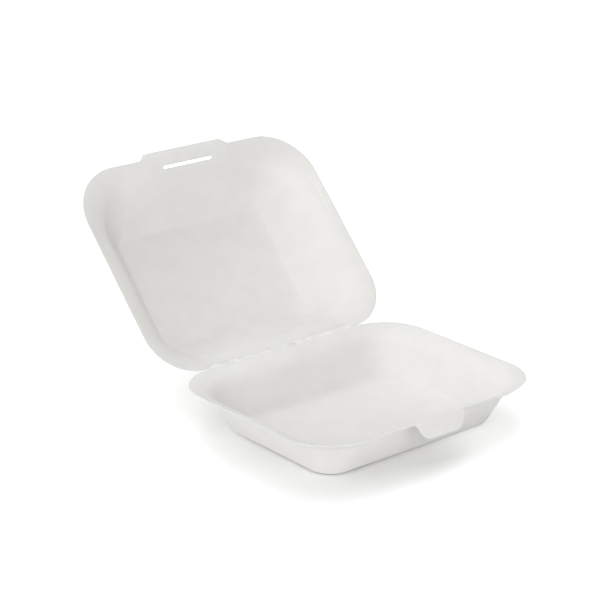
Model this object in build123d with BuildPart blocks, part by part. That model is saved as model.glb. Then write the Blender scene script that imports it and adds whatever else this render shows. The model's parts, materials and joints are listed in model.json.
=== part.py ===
"""A moulded sugar-cane fibre clamshell for a burger: a shallow tray and its hinged lid.

Everything is in millimetres. +Z is up, and the front, with the tab and the tongue, faces -Y.
The origin is the middle of the tray's rim in plan, on the surface that the tray stands on.
The lid is modelled as it stands open in use, turned back about the crease.
"""
from build123d import *

import os
from math import atan2, cos, degrees, hypot, radians, sin

# Tray: plan size of its rim, height, and how far in from the rim its foot starts on each side
tray_width = 177.0
tray_reach = 140.0
tray_height = 28.5
tray_side_inset = 23.0
tray_front_inset = 20.5
tray_back_inset = 25.0
tray_lean = 15.0
tray_rim_radius = 31.0
tray_foot_radius = 14.0
tray_wall = 1.4
tray_roll = 8.0
tray_bend = 4.0

# Lid: a little larger in plan than the tray, so that its rim covers the tray's
lid_side_overlap = 1.5
lid_front_overlap = 3.0
lid_width = tray_width + 2 * lid_side_overlap
lid_reach = tray_reach + lid_front_overlap
lid_height = 33.0
lid_side_inset = 33.0
lid_front_inset = 36.0
lid_back_inset = 29.0
lid_lean = 24.0
lid_front_radius = 34.0
lid_back_radius = 30.0
lid_panel_radius = 7.0
lid_wall = 0.5
lid_roll = 9.0
lid_bend = 4.0

# Crease: this gap is left between the halves, level when open and upright when shut
crease_gap = 0.3
opening_angle = 134.0

# Lifting tab on the lid's front rim
tab_root_width = 69.0
tab_tip_width = 61.0
tab_reach = 4.2

# Locking tongue on the tray's front rim, hanging down before the wall
tongue_root_width = 38.0
tongue_tip_width = 29.0
tongue_drop = 9.2
tongue_droop = 72.0
tongue_corner = 4.5
tongue_root_bend = 2.0
tongue_seat = 1.0

# Slit behind the tab, wide and high enough for the tongue that is tucked through it
tongue_play = 4.5
tongue_slack = 0.4
slit_inset = 3.9
slit_width = tongue_tip_width + 2 * tongue_play
slit_height = tray_wall + tongue_slack
slit_setback = lid_front_overlap + slit_inset


def outline(height, width, front, back, front_radius, back_radius):
    """Rounded rectangle from y = front to y = back, with its own corner radius at each end."""
    with BuildSketch(Plane.XY.offset(height)) as shape:
        with Locations((0, (front + back) / 2)):
            Rectangle(width, back - front)
        fillet(shape.vertices().group_by(Axis.Y)[0], front_radius)
        fillet(shape.vertices().group_by(Axis.Y)[-1], back_radius)
    return shape.sketch


def moulded_half(
    width, front, back, depth, side_inset, front_inset, back_inset, lean,
    front_radius, back_radius, foot_radius, wall, roll, bend,
):
    """One dished half of the box, mouth down on Z = 0 as it comes off the mould.

    Its flange lies on Z = 0. All the walls have one draft, leaning in by lean on the way up to
    the flat foot, and the bends are soft: roll where the flange turns into the wall, and bend
    where the wall meets the foot.
    """
    draft = degrees(atan2(lean, depth))

    def opening(skin):
        """Outline of the wall at the mouth, moved in by skin from the wall's outer face."""
        inward = skin * hypot(depth, lean) / depth
        corner = foot_radius + lean - inward
        return outline(
            0,
            width - 2 * (side_inset - lean + inward),
            front + front_inset - lean + inward,
            back - back_inset + lean - inward,
            corner,
            corner,
        )

    with BuildPart() as half:
        # Outer form with the flange laid on it
        extrude(opening(0), amount=depth, taper=draft)
        extrude(outline(0, width, front, back, front_radius, back_radius), amount=wall)
        underside = faces().filter_by(Axis.Z).sort_by(Axis.Z)[1]
        fillet(underside.inner_wires()[0].edges(), roll - wall)
        foot = faces().sort_by(Axis.Z)[-1]
        fillet(foot.outer_wire().edges(), bend + wall)

        # Hollow inside the wall
        extrude(opening(wall), amount=depth - wall, taper=draft, mode=Mode.SUBTRACT)
        mouth = faces().filter_by(Axis.Z).sort_by(Axis.Z)[0]
        fillet(mouth.inner_wires()[0].edges(), roll)
        floor = faces().filter_by(Axis.Z).sort_by(Axis.Z)[-2]
        fillet(floor.outer_wire().edges(), bend)
    return half.part


os.makedirs("parts", exist_ok=True)

hinge_y = tray_reach / 2 + crease_gap / 2
hinge_z = tray_height + crease_gap / 2
tray_front = -tray_reach / 2

# Tongue: a strip bent down from the front rim, then trimmed to its outline from the front
with BuildPart() as tongue:
    with BuildSketch(Plane.YZ):
        with BuildLine():
            seat = Line(
                (tray_front + tongue_seat, tray_height - tray_wall / 2),
                (tray_front, tray_height - tray_wall / 2),
            )
            turn = JernArc(seat @ 1, seat % 1, tongue_root_bend, tongue_droop)
            PolarLine(turn @ 1, tongue_drop / sin(radians(tongue_droop)), direction=turn % 1)
        trace(line_width=tray_wall)
    extrude(amount=tongue_root_width / 2, both=True)
    with BuildSketch(Plane.XZ.offset(-tray_front)) as tongue_face:
        with BuildLine():
            Polyline(
                (-tongue_root_width / 2, tray_height),
                (-tongue_tip_width / 2, tray_height - tongue_drop),
                (tongue_tip_width / 2, tray_height - tongue_drop),
                (tongue_root_width / 2, tray_height),
                close=True,
            )
        make_face()
        fillet(tongue_face.vertices().group_by(Axis.Y)[0], tongue_corner)
    extrude(amount=tongue_drop, both=True, mode=Mode.INTERSECT)

# Tray, turned over so that it stands on its foot
with BuildPart() as tray:
    with Locations(Location((0, 0, tray_height), (0, 180, 0))):
        add(
            moulded_half(
                tray_width, tray_front, tray_reach / 2, tray_height,
                tray_side_inset, tray_front_inset, tray_back_inset, tray_lean,
                tray_rim_radius, tray_rim_radius, tray_foot_radius,
                tray_wall, tray_roll, tray_bend,
            )
        )
    add(tongue.part)

tray.part.label = "base_tray"
export_step(tray.part, "parts/base_tray.step")

# Lid, turned about the crease from its shut place over the tray
lid_frame = Plane(
    origin=(0, hinge_y, hinge_z),
    x_dir=(1, 0, 0),
    z_dir=(0, sin(radians(opening_angle)), cos(radians(opening_angle))),
)
lid_rim = lid_frame.offset(crease_gap / 2)
lid_back = -crease_gap / 2
lid_front = lid_back - lid_reach

with BuildPart() as lid:
    with Locations(lid_rim):
        add(
            moulded_half(
                lid_width, lid_front, lid_back, lid_height,
                lid_side_inset, lid_front_inset, lid_back_inset, lid_lean,
                lid_front_radius, lid_back_radius, lid_panel_radius,
                lid_wall, lid_roll, lid_bend,
            )
        )

    # Tab, a widening of the flange
    with BuildSketch(lid_rim):
        with BuildLine():
            Polyline(
                (-tab_root_width / 2, lid_front),
                (-tab_tip_width / 2, lid_front - tab_reach),
                (tab_tip_width / 2, lid_front - tab_reach),
                (tab_root_width / 2, lid_front),
                close=True,
            )
        make_face()
    extrude(amount=lid_wall)

    # Slit, punched square to the rim through the roll behind the tab
    with BuildSketch(lid_rim):
        with Locations((0, lid_front + slit_setback)):
            SlotOverall(slit_width, slit_height)
    extrude(amount=lid_roll, mode=Mode.SUBTRACT)

lid.part.label = "lid"
export_step(lid.part, "parts/lid.step")

for half in (tray, lid):
    print(half.part.label, "volume", round(half.part.volume), "centre", half.part.center())
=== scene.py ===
import json
from math import atan2, cos, pi, radians, sin, tan

import bpy
import numpy as np
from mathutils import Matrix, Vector


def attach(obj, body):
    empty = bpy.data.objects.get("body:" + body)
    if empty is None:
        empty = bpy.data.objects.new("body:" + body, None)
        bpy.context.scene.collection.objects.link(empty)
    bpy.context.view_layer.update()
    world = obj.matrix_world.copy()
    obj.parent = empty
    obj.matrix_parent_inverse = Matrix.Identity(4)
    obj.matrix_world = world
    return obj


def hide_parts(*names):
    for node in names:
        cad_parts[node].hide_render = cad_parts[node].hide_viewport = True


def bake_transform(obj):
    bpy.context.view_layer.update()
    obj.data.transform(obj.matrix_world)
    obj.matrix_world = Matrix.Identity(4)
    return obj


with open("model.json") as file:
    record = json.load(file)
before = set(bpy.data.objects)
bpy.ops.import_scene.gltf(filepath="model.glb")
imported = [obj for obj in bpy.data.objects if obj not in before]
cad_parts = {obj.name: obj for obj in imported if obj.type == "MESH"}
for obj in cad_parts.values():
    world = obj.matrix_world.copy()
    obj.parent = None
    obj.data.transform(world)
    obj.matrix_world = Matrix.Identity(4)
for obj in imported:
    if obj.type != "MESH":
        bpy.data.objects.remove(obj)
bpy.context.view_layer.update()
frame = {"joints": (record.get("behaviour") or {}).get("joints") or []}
mm = 0.001

# Tray: the lower half, pressed from wet sugar-cane pulp on a heated mould, so the wall is one
# even thickness, every bend is soft and nothing is fixed on. Its front rim carries the locking
# tongue, a lip of the same fibre.
tray_width = 177 * mm
tray_reach = 140 * mm
tray_height = 28.5 * mm
tray_foot_insets = (23 * mm, 20.5 * mm, 25 * mm)  # on the sides, at the front and at the back
tray_lean = 15 * mm
tray_rim_radii = (31 * mm, 31 * mm)  # at the front and at the back
tray_foot_radius = 14 * mm
tray_wall = 1.4 * mm
tray_roll = 8 * mm
tray_bend = 4 * mm

tongue_root_width = 38 * mm
tongue_tip_width = 29 * mm
tongue_drop = 9.2 * mm
tongue_droop = radians(72)
tongue_root_bend = 2 * mm
tongue_corner = 4.5 * mm

# Unevenness of the fibre: the flange's fall, the sag of the rim and the waves in the walls
rim_fall = radians(8)
tray_lip_fall = radians(17)
rim_sag = 1.2 * mm
rim_sag_width = 60 * mm
tray_wave_height = 0.12 * mm
tray_wave_lengths = (18 * mm, 60 * mm)

# Cut edge, which the trimming die presses thinner over the first rows and leaves slightly round
edge_wall = 0.28 * mm
edge_thin_rows = 6
edge_round = 0.15 * mm
edge_angle = radians(60)

# Rows of the grid down a half, and steps round it
tray_flange_rows = np.array([0, 0.3, 0.7, 1.1, 1.5, 1.9]) * mm
roll_rows = 16
wall_rows = 14
bend_rows = 9
floor_rows = 17
tray_middle = np.linspace(-tongue_root_width / 2, tongue_root_width / 2, 25)
shoulder_steps = 12
corner_steps = 18
side_steps = 44
back_steps = 56

fibre_colour = "#EBEAE8"
fibre_shade = "#E7E6E3"
fibre_fleck = "#D6D0C2"
cloud_size = 14 * mm
cockle_size = 5 * mm
cockle_relief = 0.05 * mm
fibre_size = 0.9 * mm
fibre_relief = 0.03 * mm
screen_pitch = 1.2 * mm
screen_relief = 0.012 * mm


def dish_rings(
    width, front, back, depth, foot_insets, lean, rim_radii, foot_radius, wall, roll, bend,
    lip_fall, flange_rows,
):
    """Sizes of the rings that make the mouth side of a dished half, from its rim to its floor.

    The first rings lie flat, at flange_rows in from the front edge, and blend from the rim's
    outline to the line where the roll starts. From there a ring is moved in and down along an
    arc, a straight leaning wall and an arc that ends level with the floor, and its corners
    shrink by what it is moved in. The first arc starts at lip_fall already, so its radius is
    what brings it from the roll's start to the wall's line. A line of the result holds half
    width, front, back, front radius, back radius and depth.
    """
    side, front_inset, back_inset = (inset - lean for inset in foot_insets)
    turn = atan2(depth, lean)
    skin = wall / sin(turn)
    floor_depth = depth - wall
    roll_start = skin - roll * tan(turn / 2)
    bend_end = skin + floor_depth * lean / depth + bend * tan(turn / 2)
    soft_roll = roll * tan(turn / 2) / (
        sin(turn) - sin(lip_fall) - (cos(lip_fall) - cos(turn)) / tan(turn)
    )
    rolled = np.linspace(lip_fall, turn, roll_rows)
    bent = np.linspace(turn, 0, bend_rows)
    wall_share = np.linspace(0, 1, wall_rows + 2)[1:-1]
    roll_path = np.stack([
        roll_start + soft_roll * (np.sin(rolled) - sin(lip_fall)),
        soft_roll * (cos(lip_fall) - np.cos(rolled)),
    ], axis=1)
    bend_path = np.stack([
        bend_end - bend * np.sin(bent),
        floor_depth - bend * (1 - np.cos(bent)),
    ], axis=1)
    wall_path = roll_path[-1] + wall_share[:, None] * (bend_path[0] - roll_path[-1])
    moved, down = np.vstack([roll_path, wall_path, bend_path]).T
    corner = foot_radius + lean - moved
    dish = np.stack([
        width / 2 - side - moved,
        front + front_inset + moved,
        back - back_inset - moved,
        corner,
        corner,
        down,
    ], axis=1)
    rim = np.array([width / 2, front, back, *rim_radii, 0])
    blend = flange_rows[:, None] / (dish[0, 1] - front)
    return np.vstack([rim + blend * (dish[0] - rim), dish])


def ring_points(rings, middle):
    """Points of the rings, as an array of rings, places round a ring, and x, y and depth.

    A ring is a rounded rectangle, run round from the left end of its front edge. The middle of
    the front edge keeps the x places in middle, where a slit or a lip can start. The rest is
    shared out evenly, straight runs by length and corners by angle. Smaller copies of the last
    ring then close the floor towards its centre, which is the second result.
    """
    half, front, back, front_radius, back_radius, depth = (size[:, None] for size in rings.T)
    level = np.zeros_like(half)
    front_flat, back_flat = half - front_radius, half - back_radius
    low, high = front + front_radius, back - back_radius

    def run(start, end, steps):
        """A straight run from start to end in even steps, without its last place."""
        return start + np.linspace(0, 1, steps + 1)[:-1] * (end - start)

    def corner(x, y, radius, start):
        """A quarter turn about (x, y), without its last place."""
        angle = start + np.linspace(0, pi / 2, corner_steps + 1)[:-1]
        return x + radius * np.cos(angle), y + radius * np.sin(angle)

    stretches = [
        (run(-front_flat, level + middle[0], shoulder_steps), run(front, front, shoulder_steps)),
        (level + middle[:-1], run(front, front, len(middle) - 1)),
        (run(level + middle[-1], front_flat, shoulder_steps), run(front, front, shoulder_steps)),
        corner(front_flat, low, front_radius, -pi / 2),
        (run(half, half, side_steps), run(low, high, side_steps)),
        corner(back_flat, high, back_radius, 0),
        (run(back_flat, -back_flat, back_steps), run(back, back, back_steps)),
        corner(-back_flat, high, back_radius, pi / 2),
        (run(-half, -half, side_steps), run(high, low, side_steps)),
        corner(-front_flat, low, front_radius, pi),
    ]
    x, y = (np.hstack([stretch[axis] for stretch in stretches]) for axis in (0, 1))
    dish = np.stack([x, y, depth + 0 * x], axis=2)
    centre = np.array([0, (front[-1, 0] + back[-1, 0]) / 2, depth[-1, 0]])
    shrink = np.linspace(1, 0, floor_rows + 2)[1:-1, None, None]
    return np.concatenate([dish, centre + shrink * (dish[-1] - centre)]), centre


def waves(x, y, height, shortest, longest, seed):
    """A gentle unevenness: ten sine waves that cross at seeded lengths and angles.

    Their sum is divided by 3, about the square root of ten, so that it mostly stays within
    height.
    """
    draw = np.random.default_rng(seed)
    total = 0 * x
    for length, angle, phase in zip(
        draw.uniform(shortest, longest, 10), draw.uniform(0, pi, 10), draw.uniform(0, 2 * pi, 10)
    ):
        total = total + np.sin(2 * pi * (x * cos(angle) + y * sin(angle)) / length + phase)
    return height * total / 3


def patches(x, y, share, swing, shortest, longest, seed):
    """Patches that come and go: share plus waves that reach about swing, held within 0 and 1."""
    return np.clip(share + waves(x, y, swing, shortest, longest, seed), 0, 1)


def soften_flange(points, flat_rows, lip_fall):
    """Turns the flat flange into the soft lip of the real one.

    In from the rim the flange falls away by a parabola, from rim_fall at the rim to lip_fall at
    the roll, and what it has fallen by there fades evenly towards the floor.
    """
    steps = np.linalg.norm(np.diff(points, axis=0), axis=2)
    path = np.vstack([0 * steps[:1], np.cumsum(steps, axis=0)])
    flat = path[flat_rows]
    fall = np.where(
        path < flat,
        tan(rim_fall) * path + (tan(lip_fall) - tan(rim_fall)) * path ** 2 / (2 * flat),
        (tan(rim_fall) + tan(lip_fall)) * flat / 2 * (1 - points[..., 2] / points[-1, 0, 2]),
    )
    softened = points.copy()
    softened[..., 2] += fall
    return softened


def push_out(points, rise):
    """The grid moved by rise along its normals, which are its two directions crossed."""
    around = np.roll(points, -1, axis=1) - np.roll(points, 1, axis=1)
    normal = np.cross(around, np.gradient(points, axis=0))
    return points + normal / np.linalg.norm(normal, axis=2, keepdims=True) * rise[..., None]


def sag_rim(points):
    """Lowers the middle of the front rim, as the real one has sunk, by a bell curve across x.

    It fades to nothing at the foot and towards the back.
    """
    x, y, depth = np.moveaxis(points, 2, 0)
    forward = np.clip(-y / (tray_reach / 2), 0, 1) ** 3
    share = forward * np.clip(1 - depth / tray_height, 0, 1)
    sagged = points.copy()
    sagged[..., 2] += rim_sag * np.exp(-(x / rim_sag_width) ** 2) * share
    return sagged


def tongue_lip(middle):
    """The tongue's mouth side: an arc that turns the rim down by the droop, then a straight run.

    Its half width narrows evenly from the root to the tip, less what a quarter circle takes off
    each tip corner.
    """
    bend = tongue_root_bend + tray_wall / 2
    arc = np.linspace(0, tongue_droop, 8)[1:]
    turned = bend * (1 - cos(tongue_droop))
    straight = tongue_drop - tongue_corner
    tip = straight + tongue_corner * np.sin(np.linspace(0, pi / 2, 9)[1:])
    down = np.concatenate([bend * (1 - np.cos(arc)), np.linspace(turned, straight, 5)[1:], tip])
    out = bend * np.sin(arc)
    out = np.concatenate([out, out[-1] + (down[len(arc):] - turned) / tan(tongue_droop)])
    past = np.clip(down - straight, 0, tongue_corner)
    width = tongue_root_width + (tongue_tip_width - tongue_root_width) * down / tongue_drop
    half = width / 2 - tongue_corner + np.sqrt(tongue_corner ** 2 - past ** 2)
    x = half[:, None] * middle / middle[-1]
    return np.stack([x, -tray_reach / 2 - out[:, None] + 0 * x, down[:, None] + 0 * x], axis=2)


def grid_faces(index):
    """Four-sided faces between the neighbours in a grid of vertex numbers, kept as a grid."""
    return np.stack([index[:-1, :-1], index[:-1, 1:], index[1:, 1:], index[1:, :-1]], axis=2)


def add_sheet(name, points, faces, materials):
    """Makes a smooth object of a sheet's points and faces, with its materials."""
    mesh = bpy.data.meshes.new(name)
    mesh.from_pydata(points, [], faces)
    mesh.shade_smooth()
    for material in materials:
        mesh.materials.append(material)
    sheet = bpy.data.objects.new(name, mesh)
    bpy.context.collection.objects.link(sheet)
    return sheet


def moulded_sheet(name, points, centre, lip, origin, axes, wall, materials, slit=None):
    """Makes a moulded half from its mouth side, then gives it its wall and rounds the cut edges.

    points is the closed grid from the rim to the floor, centre closes it, and lip is a grid that
    carries on outwards from the middle of the front rim. origin and axes place x, y and depth in
    the frame. slit holds the rows and the columns of the faces that the slit takes away. The
    wall grows from edge_wall at the rim to its full thickness within the first rows.
    """
    rows, places = points.shape[:2]
    pole = rows * places
    index = np.arange(pole).reshape(rows, places)
    closed = np.hstack([index, index[:, :1]])
    quads = grid_faces(closed)
    keep = np.ones(quads.shape[:2], bool)
    if slit:
        keep[np.ix_(*slit)] = False
    fan = np.stack([closed[-1, :-1], closed[-1, 1:], np.full(places, pole)], axis=1)
    lip_index = pole + 1 + np.arange(lip.shape[0] * lip.shape[1]).reshape(lip.shape[:2])
    root = index[0, shoulder_steps:shoulder_steps + lip.shape[1]]
    lip_quads = grid_faces(np.vstack([lip_index[::-1], root])).reshape(-1, 4)
    faces = quads[keep].tolist() + lip_quads.tolist() + fan.tolist()

    # The faces look out of the mouth: axes that don't mirror the half turn them the other way
    if np.linalg.det(axes) > 0:
        faces = [face[::-1] for face in faces]
    flat = np.vstack([points.reshape(-1, 3), centre, lip.reshape(-1, 3)])
    sheet = add_sheet(name, origin + flat @ axes, faces, materials)

    full = sheet.vertex_groups.new(name="full_wall")
    for row, share in enumerate(np.linspace(0, 1, edge_thin_rows)[1:], 1):
        full.add(index[row].tolist(), share, "REPLACE")
    full.add(list(range(edge_thin_rows * places, pole + 1)), 1.0, "REPLACE")
    thicken = sheet.modifiers.new("wall", "SOLIDIFY")
    thicken.thickness = wall
    thicken.offset = -1
    thicken.use_even_offset = True
    thicken.material_offset = 1
    thicken.material_offset_rim = 1
    thicken.vertex_group = full.name
    thicken.thickness_vertex_group = edge_wall / wall
    ease = sheet.modifiers.new("cut_edge", "BEVEL")
    ease.width = edge_round
    ease.segments = 2
    ease.limit_method = "ANGLE"
    ease.angle_limit = edge_angle
    return sheet


def linear(colour):
    """An sRGB hex colour as linear red, green, blue and full alpha."""
    shares = np.array([int(colour[i:i + 2], 16) for i in (1, 3, 5)]) / 255
    curved = np.where(shares <= 0.04045, shares / 12.92, ((shares + 0.055) / 1.055) ** 2.4)
    return (*curved.tolist(), 1.0)


def add_node(tree, kind, values=None, links=None, **settings):
    """Adds a node with its settings, its sockets' values and the outputs linked into it."""
    node = tree.nodes.new(kind)
    for setting, value in settings.items():
        setattr(node, setting, value)
    for socket, value in (values or {}).items():
        node.inputs[socket].default_value = value
    for socket, output in (links or {}).items():
        tree.links.new(output, node.inputs[socket])
    return node


def moulded_fibre(name, screened, colour):
    """Hot-pressed bagasse: matt, off-white and a little cloudy, with short fibres in its face.

    The clouds are pulp density, some 14 mm across, and the cockle is drying, some 5 mm. Real
    fibres are about 0.1 mm wide, too fine to show, so they are drawn 0.9 mm apart. The screened
    side has the faint weave of the wire that the pulp drained through, drawn at 1.2 mm.
    """
    material = bpy.data.materials.new(name)
    material.use_nodes = True
    tree = material.node_tree
    tree.nodes.clear()
    place = add_node(tree, "ShaderNodeTexCoord").outputs["Object"]
    clouds = add_node(
        tree, "ShaderNodeTexNoise", {"Scale": 1 / cloud_size, "Detail": 3.0, "Roughness": 0.6},
        {"Vector": place},
    )
    cockle = add_node(
        tree, "ShaderNodeTexNoise", {"Scale": 1 / cockle_size, "Detail": 2.0}, {"Vector": place}
    )
    fibres = add_node(
        tree, "ShaderNodeTexNoise",
        {"Scale": 1 / fibre_size, "Detail": 4.0, "Roughness": 0.7, "Distortion": 1.5},
        {"Vector": place},
    )
    cloudy = add_node(
        tree, "ShaderNodeMapRange", {"From Min": 0.3, "From Max": 0.7},
        {"Value": clouds.outputs[0]},
    )
    flecked = add_node(
        tree, "ShaderNodeMapRange", {"From Min": 0.64, "From Max": 0.78, "To Max": 0.4},
        {"Value": fibres.outputs[0]},
    )
    body = add_node(
        tree, "ShaderNodeMix", {6: linear(colour), 7: linear(fibre_shade)},
        {0: cloudy.outputs[0]}, data_type="RGBA",
    )
    tinted = add_node(
        tree, "ShaderNodeMix", {7: linear(fibre_fleck)},
        {0: flecked.outputs[0], 6: body.outputs[2]}, data_type="RGBA",
    )
    rough = add_node(
        tree, "ShaderNodeMapRange", {"To Min": 0.72, "To Max": 0.9}, {"Value": fibres.outputs[0]}
    )
    relief = add_node(
        tree, "ShaderNodeBump", {"Strength": 1.0, "Distance": cockle_relief},
        {"Height": cockle.outputs[0]},
    )
    if screened:
        # A wave texture at scale 1 has a little over 3.14 bands to a metre
        across, along = (
            add_node(
                tree, "ShaderNodeTexWave", {"Scale": 1 / (3.14 * screen_pitch)},
                {"Vector": place}, bands_direction=axis,
            )
            for axis in ("X", "Y")
        )
        weave = add_node(
            tree, "ShaderNodeMath", links={0: across.outputs[1], 1: along.outputs[1]},
            operation="MULTIPLY",
        )
        relief = add_node(
            tree, "ShaderNodeBump", {"Strength": 1.0, "Distance": screen_relief},
            {"Height": weave.outputs[0], "Normal": relief.outputs[0]},
        )
    relief = add_node(
        tree, "ShaderNodeBump", {"Strength": 1.0, "Distance": fibre_relief},
        {"Height": fibres.outputs[0], "Normal": relief.outputs[0]},
    )
    surface = add_node(
        tree, "ShaderNodeBsdfPrincipled", {"IOR": 1.47, "Specular IOR Level": 0.35},
        {
            "Base Color": tinted.outputs[2], "Roughness": rough.outputs[0],
            "Normal": relief.outputs[0],
        },
    )
    add_node(tree, "ShaderNodeOutputMaterial", links={"Surface": surface.outputs[0]})
    return material


tray_rings = dish_rings(
    width=tray_width, front=-tray_reach / 2, back=tray_reach / 2, depth=tray_height,
    foot_insets=tray_foot_insets, lean=tray_lean, rim_radii=tray_rim_radii,
    foot_radius=tray_foot_radius, wall=tray_wall, roll=tray_roll, bend=tray_bend,
    lip_fall=tray_lip_fall, flange_rows=tray_flange_rows,
)
tray_grid, tray_centre = ring_points(tray_rings, tray_middle)
tray_grid = soften_flange(tray_grid, len(tray_flange_rows), tray_lip_fall)
x, y, depth = np.moveaxis(tray_grid, 2, 0)
fade = np.clip(depth / tray_roll, 0, 1)
fade *= np.clip((tray_height - tray_wall - depth) / tray_bend, 0, 1)
uneven = fade * waves(x + depth, y - depth, tray_wave_height, *tray_wave_lengths, seed=3)
tray_grid = push_out(tray_grid, uneven)

mould_side = moulded_fibre("hot_pressed_bagasse_mould_side", False, fibre_colour)
screen_side = moulded_fibre("hot_pressed_bagasse_screen_side", True, fibre_colour)
tray_skin = moulded_sheet(
    "tray_skin", sag_rim(tray_grid), tray_centre, sag_rim(tongue_lip(tray_middle)),
    np.array([0, 0, tray_height]), np.diag([1, 1, -1]), tray_wall, (mould_side, screen_side),
)
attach(tray_skin, "tray")
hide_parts("base_tray")

# Lid: the upper half of the same sheet, deeper and with more lean, standing open on its crease.
# Its front rim widens into the lifting tab, and a slit for the tongue is punched behind it.
lid_width = 180 * mm
lid_reach = 143 * mm
lid_height = 33 * mm
lid_foot_insets = (33 * mm, 36 * mm, 29 * mm)
lid_lean = 24 * mm
lid_rim_radii = (34 * mm, 30 * mm)
lid_panel_radius = 7 * mm
lid_wall = 0.5 * mm
lid_roll = 9 * mm
lid_bend = 4 * mm
crease_gap = 0.3 * mm
opening = radians(134)

tab_root_width = 69 * mm
tab_tip_width = 61 * mm
tab_reach = 4.2 * mm
tab_end_fall = 0.7 * mm
tab_end_width = 3 * mm

slit_width = 38 * mm
slit_height = 1.8 * mm
slit_setback = 6.9 * mm
slit_end = 0.6 * mm
slit_end_taper = 0.4 * mm

# Unevenness of the fibre: the flange's fall, waves in the walls, of which a share carries on
# over the panel, ripples on the right roll and ridges beside the crease
lid_lip_fall = radians(21)
lid_wave_height = 0.2 * mm
lid_wave_lengths = (20 * mm, 70 * mm)
panel_wave_share = 0.2
ripple_height = 0.34 * mm
ripple_pitch = 3.2 * mm
ripple_x = 83.5 * mm
ripple_x_spread = 2.8 * mm
ripple_y = -62 * mm
ripple_y_spread = 42 * mm
ridge_height = 0.22 * mm
ridge_pitch = 3.4 * mm
ridge_setback = 6 * mm
ridge_spread = 4 * mm
ridge_fade = 80 * mm

# The slit's near edge, middle and far edge are rows of the grid, and its ends are steps round it
slit_rows = slit_setback + slit_height * np.array([-0.5, 0, 0.5])
lid_flange_rows = np.concatenate([np.array([0, 0.4, 1.2, 2.4, 3.6, 4.8]) * mm, slit_rows])
beside_slit = np.linspace(tab_root_width / 2, slit_width / 2 + 1.2 * mm, 9)
within_slit = np.linspace(17, 1, 9) * mm
lid_half = np.concatenate(
    [beside_slit, [slit_width / 2, slit_width / 2 - slit_end], within_slit]
)
lid_middle = np.concatenate([-lid_half, lid_half[::-1]])


def tab_lip(middle):
    """The tab's mouth side: level with the flange and narrowing evenly to its tip.

    Its two ends fall away by a squared share of the way out to them.
    """
    out = np.linspace(0, 1, 7)[1:, None]
    x = middle * (1 + out * (tab_tip_width / tab_root_width - 1))
    end = x[:, -1:]
    fall = tab_end_fall * np.clip((abs(x) - end + tab_end_width) / tab_end_width, 0, 1) ** 2
    lip_front = -crease_gap / 2 - lid_reach
    return np.stack([x, lip_front - out * tab_reach + 0 * x, fall * out], axis=2)


def roll_ripples(x, y):
    """Ripples dried into the right roll: a sine wave across x, shifted by slow waves.

    They fill a band that is a bell curve across x and a flatter one along y, broken up into
    patches.
    """
    band = np.exp(-((x - ripple_x) / ripple_x_spread) ** 2)
    band = band * np.exp(-((y - ripple_y) / ripple_y_spread) ** 4)
    broken = patches(x, y, 0.6, 0.8, 6 * mm, 16 * mm, seed=11)
    shift = waves(x, y, 0.5, 12 * mm, 40 * mm, seed=8)
    return band * broken * ripple_height * np.sin(2 * pi * (x / ripple_pitch + shift))


def crease_ridges(x, behind):
    """Ridges dried in beside the crease: a sine wave of the distance from it, behind.

    Slow waves along x shift it. It fills a bell curve about its setback and dies out to the
    right.
    """
    ridged = np.exp(-((behind - ridge_setback) / ridge_spread) ** 2)
    ridged = ridged * np.clip(0.6 - x / ridge_fade, 0, 1)
    shift = waves(x, 0 * x, 0.3, 25 * mm, 80 * mm, seed=9)
    return ridged * ridge_height * np.sin(2 * pi * (behind / ridge_pitch + shift))


lid_rings = dish_rings(
    width=lid_width, front=-crease_gap / 2 - lid_reach, back=-crease_gap / 2, depth=lid_height,
    foot_insets=lid_foot_insets, lean=lid_lean, rim_radii=lid_rim_radii,
    foot_radius=lid_panel_radius, wall=lid_wall, roll=lid_roll, bend=lid_bend,
    lip_fall=lid_lip_fall, flange_rows=lid_flange_rows,
)
lid_grid, lid_centre = ring_points(lid_rings, lid_middle)
lid_grid = soften_flange(lid_grid, len(lid_flange_rows), lid_lip_fall)
x, y, depth = np.moveaxis(lid_grid, 2, 0)
fade = np.clip(depth / lid_roll, 0, 1)
fade *= np.clip((lid_height - lid_wall - depth) / lid_bend + panel_wave_share, 0, 1)
uneven = fade * waves(x + depth, y - depth, lid_wave_height, *lid_wave_lengths, seed=5)
uneven += roll_ripples(x, y)
uneven += crease_ridges(x, -crease_gap / 2 - y)
lid_grid = push_out(lid_grid, uneven)

# Slit: the faces between its rows are left out, and its ends taper, for their round
slit_near = len(lid_flange_rows) - len(slit_rows)
slit_far = slit_near + len(slit_rows) - 1
slit_columns = shoulder_steps + np.flatnonzero(abs(lid_middle) <= slit_width / 2)
for column in (slit_columns[0], slit_columns[-1]):
    lid_grid[slit_near, column, 1] += slit_end_taper
    lid_grid[slit_far, column, 1] -= slit_end_taper

hinge = np.array(frame["joints"][0]["pos_m"])
lid_away = np.array([0, sin(opening), cos(opening)])
lid_back = np.array([0, cos(opening), -sin(opening)])
lid_origin = hinge + lid_away * crease_gap / 2
lid_skin = moulded_sheet(
    "lid_skin", lid_grid, lid_centre, tab_lip(lid_middle),
    lid_origin, np.array([(1, 0, 0), lid_back, lid_away]), lid_wall, (mould_side, screen_side),
    slit=(np.arange(slit_near, slit_far), slit_columns[:-1]),
)
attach(lid_skin, "lid")
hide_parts("lid")

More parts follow.
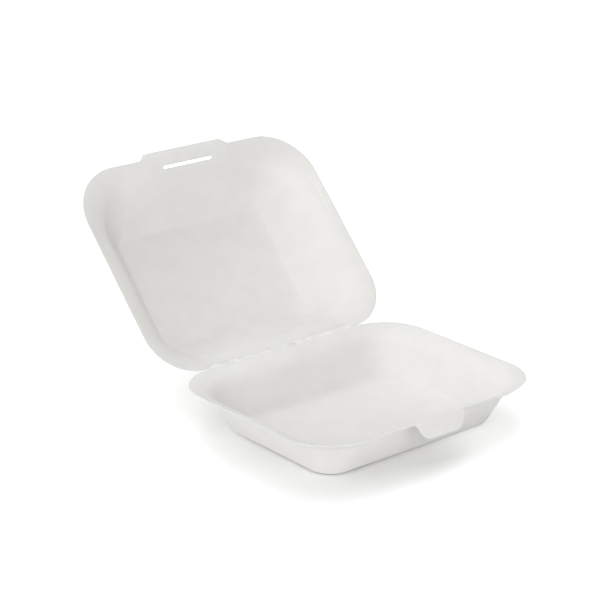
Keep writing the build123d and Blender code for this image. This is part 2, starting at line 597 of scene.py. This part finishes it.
# Crease: the fibre between the halves, scored thin so that it folds. It has cracked into pale,
# fuzzy stretches, which stand up as a broken line before a sunk groove.
crease_half = 57 * mm
crease_tray_reach = 1.3 * mm
crease_lid_reach = 1.6 * mm
crease_tray_sink = 0.35 * mm
crease_lid_sink = 0.55 * mm
crease_end = 5 * mm
groove_depth = 1.1 * mm
bead_height = 1.25 * mm
crease_wall = 0.25 * mm
crease_colour = "#F7F6F4"
cracked_from = -42 * mm
cracked_to = 14 * mm
cracked_fade = 9 * mm


def crease_strip():
    """The crease's mouth side: a bead beside the tray's flange, then a groove under the lid's.

    Across the fold the bead is a squared sine, and the groove is another, cut the other way.
    Both come and go in patches along the crease, and only from cracked_from to cracked_to.
    Its two ends run out in a quarter circle towards the hinge line.
    """
    along = np.linspace(-crease_half, crease_half, 229)[:, None]
    share = np.linspace(0, 1, 21)
    tray_foot = np.array([
        0, tray_reach / 2 - crease_tray_reach, tray_height - crease_tray_sink
    ])
    lid_foot = (
        lid_origin - lid_back * (crease_gap / 2 + crease_lid_reach) + lid_away * crease_lid_sink
    )
    outward = np.array([0, 0, 1]) - lid_away
    outward = outward / np.linalg.norm(outward)
    inside = np.minimum(along - cracked_from, cracked_to - along)
    stretch = np.clip(1 + inside / cracked_fade, 0, 1)
    cracked = stretch * patches(along, 0 * along, 0.55, 0.9, 7 * mm, 30 * mm, seed=12)
    split = stretch * patches(along, 0 * along, 0.6, 0.7, 9 * mm, 35 * mm, seed=13)
    bead = bead_height * cracked * np.sin(pi * np.clip(share / 0.5, 0, 1)) ** 2
    groove = groove_depth * split * np.sin(pi * np.clip((share - 0.5) / 0.5, 0, 1)) ** 2
    points = tray_foot + share[:, None] * (lid_foot - tray_foot)
    points = points + (bead - groove)[..., None] * outward
    fold = hinge - crease_wall * outward
    past = np.clip((abs(along) - crease_half + crease_end) / crease_end, 0, 1)
    points = fold + np.sqrt(1 - past ** 2)[..., None] * (points - fold)
    points[..., 0] = along
    return points


crease_points = crease_strip()
crease_index = np.arange(crease_points[..., 0].size).reshape(crease_points.shape[:2])
crease = add_sheet(
    "crease_fold", crease_points.reshape(-1, 3),
    grid_faces(crease_index.T).reshape(-1, 4).tolist(),
    [moulded_fibre("cracked_bagasse_crease", False, crease_colour)],
)
thicken = crease.modifiers.new("wall", "SOLIDIFY")
thicken.thickness = crease_wall
thicken.offset = -1
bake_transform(crease)

# Floor: a pale paper sweep, lifted to white for the camera alone from a little way out, so that
# only the soft shadow about the tray's foot shows. Far out, where the lamps don't reach, the lift
# is stronger. The floor lies a hair below the foot, so that the two never share a plane.
floor_half = 4.0
floor_gap = 0.02 * mm
floor_colour = "#FAFAFA"
floor_lift = 0.36
far_lift = 0.65
lift_centre = (-39 * mm, -17 * mm, 0)
lift_start = 32 * mm
lift_end = 112 * mm
far_start = 300 * mm
far_end = 1500 * mm


def seen_directly(tree):
    """1 for camera, glossy and transmission rays, which see the backdrop, and 0 for the rest."""
    rays = add_node(tree, "ShaderNodeLightPath")
    seen = add_node(
        tree, "ShaderNodeMath",
        links={0: rays.outputs["Is Camera Ray"], 1: rays.outputs["Is Glossy Ray"]},
        operation="MAXIMUM",
    )
    return add_node(
        tree, "ShaderNodeMath",
        links={0: seen.outputs[0], 1: rays.outputs["Is Transmission Ray"]},
        operation="MAXIMUM",
    ).outputs[0]


sweep = bpy.data.materials.new("matt_white_paper_sweep")
sweep.use_nodes = True
tree = sweep.node_tree
tree.nodes.clear()
place = add_node(tree, "ShaderNodeTexCoord").outputs["Object"]
away = add_node(
    tree, "ShaderNodeVectorMath", {1: lift_centre}, {0: place}, operation="DISTANCE"
)
near_white = add_node(
    tree, "ShaderNodeMapRange",
    {"From Min": lift_start, "From Max": lift_end, "To Max": floor_lift},
    {"Value": away.outputs["Value"]}, interpolation_type="SMOOTHSTEP",
)
far_white = add_node(
    tree, "ShaderNodeMapRange",
    {"From Min": far_start, "From Max": far_end, "To Max": far_lift},
    {"Value": away.outputs["Value"]}, interpolation_type="SMOOTHSTEP",
)
white = add_node(
    tree, "ShaderNodeMath", links={0: near_white.outputs[0], 1: far_white.outputs[0]},
    operation="ADD",
)
lift = add_node(
    tree, "ShaderNodeMath", links={0: white.outputs[0], 1: seen_directly(tree)},
    operation="MULTIPLY",
)
paper = add_node(
    tree, "ShaderNodeBsdfPrincipled",
    {
        "Base Color": linear(floor_colour), "Roughness": 1.0, "Specular IOR Level": 0.0,
        "Emission Color": (1, 1, 1, 1),
    },
    {"Emission Strength": lift.outputs[0]},
)
add_node(tree, "ShaderNodeOutputMaterial", links={"Surface": paper.outputs[0]})
corners = np.array([(-1, -1, 0), (1, -1, 0), (1, 1, 0), (-1, 1, 0)]) * floor_half
floor = add_sheet("floor", corners - (0, 0, floor_gap), [(0, 1, 2, 3)], [sweep])

# Light: six broad, soft lamps round the table, so that every side is lit nearly alike, each
# with its place in metres and its power in watts. The backdrop is white to the camera alone.
room_level = 0.01
lamp_size = 1.6
lamp_aim = Vector((0, 0.05, 0.05))
lamps = {
    "left_lamp": ((-1.7, 0.0, 0.7), 13.0),
    "left_back_lamp": ((-1.5, 1.0, 0.9), 9.2),
    "back_lamp": ((0.9, 1.1, 1.6), 17.3),
    "near_lamp": ((-1.0, -1.2, 1.0), 6.4),
    "low_front_lamp": ((0.0, -1.8, 0.35), 20.0),
    "top_lamp": ((-0.2, 0.1, 1.8), 11.1),
}
world = bpy.data.worlds.new("studio")
world.use_nodes = True
bpy.context.scene.world = world
tree = world.node_tree
tree.nodes.clear()
room = add_node(
    tree, "ShaderNodeBackground", {"Color": (1, 1, 1, 1), "Strength": room_level}
)
backdrop = add_node(tree, "ShaderNodeBackground", {"Color": (1, 1, 1, 1), "Strength": 1.0})
seen = add_node(
    tree, "ShaderNodeMixShader",
    links={0: seen_directly(tree), 1: room.outputs[0], 2: backdrop.outputs[0]},
)
add_node(tree, "ShaderNodeOutputWorld", links={"Surface": seen.outputs[0]})
for name, (stand, power) in lamps.items():
    lamp_data = bpy.data.lights.new(name, "AREA")
    lamp_data.shape = "SQUARE"
    lamp_data.size = lamp_size
    lamp_data.energy = power
    lamp = bpy.data.objects.new(name, lamp_data)
    lamp.location = stand
    lamp.rotation_euler = (lamp_aim - Vector(stand)).to_track_quat("-Z", "Y").to_euler()
    bpy.context.collection.objects.link(lamp)

# Camera: at the photograph's angle and distance, worked out from the box's outlines in it. The
# lens is in millimetres, for a sensor 36 mm wide.
camera_azimuth = radians(-39.52)
camera_elevation = radians(19.85)
camera_distance = 1354.55 * mm
camera_aim = Vector((59.19, 125.83, 30)) * mm
camera_lens = 124.33
camera_sensor = 36.0
looking = Vector((
    -sin(camera_azimuth) * cos(camera_elevation),
    cos(camera_azimuth) * cos(camera_elevation),
    -sin(camera_elevation),
))
camera_data = bpy.data.cameras.new("camera")
camera_data.lens = camera_lens
camera_data.sensor_width = camera_sensor
camera = bpy.data.objects.new("camera", camera_data)
camera.location = camera_aim - looking * camera_distance
camera.rotation_euler = looking.to_track_quat("-Z", "Y").to_euler()
bpy.context.collection.objects.link(camera)
bpy.context.scene.camera = camera
bpy.context.scene.view_settings.view_transform = "Standard"
